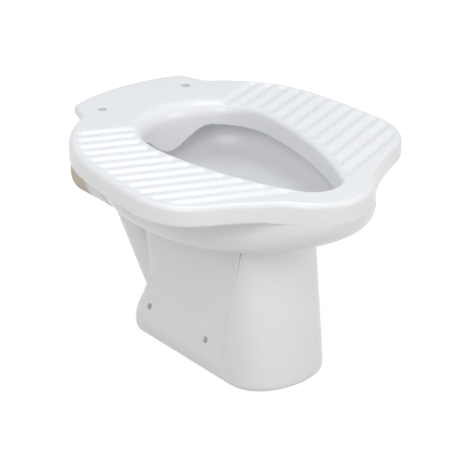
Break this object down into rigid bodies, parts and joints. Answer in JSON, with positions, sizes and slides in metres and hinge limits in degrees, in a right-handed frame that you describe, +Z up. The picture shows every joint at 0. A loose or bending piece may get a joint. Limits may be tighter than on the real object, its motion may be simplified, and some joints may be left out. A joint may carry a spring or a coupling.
{
  "type": "anglo-indian toilet",
  "caption": "Bare white glazed-china anglo-indian closet: ribbed footrests beside an egg-shaped mouth, tub bowl, rounded pedestal with a screw-down foot, and a P-trap spigot at the back.",
  "frame": {"origin": "on the floor under the middle of the overall box", "axes": "+Z up, -Y to the front lip, +Y along the outlet spigot, +X to the right of someone facing -Y from behind"},
  "size_m": [0.4788, 0.64, 0.35],
  "materials": {
    "china": "glossy",
    "biscuit": "matte"
  },
  "bodies": {
    "root": {"footrest_slab": "china", "flush_rim": "china", "flush_apron": "china", "bowl": "china", "sump": "china", "trap_riser": "china", "inlet_horn": "china", "pedestal_front": "china", "side_wall_left": "china", "side_wall_right": "china", "foot": "china", "outlet_horn": "biscuit"}
  },
  "joints": []
}
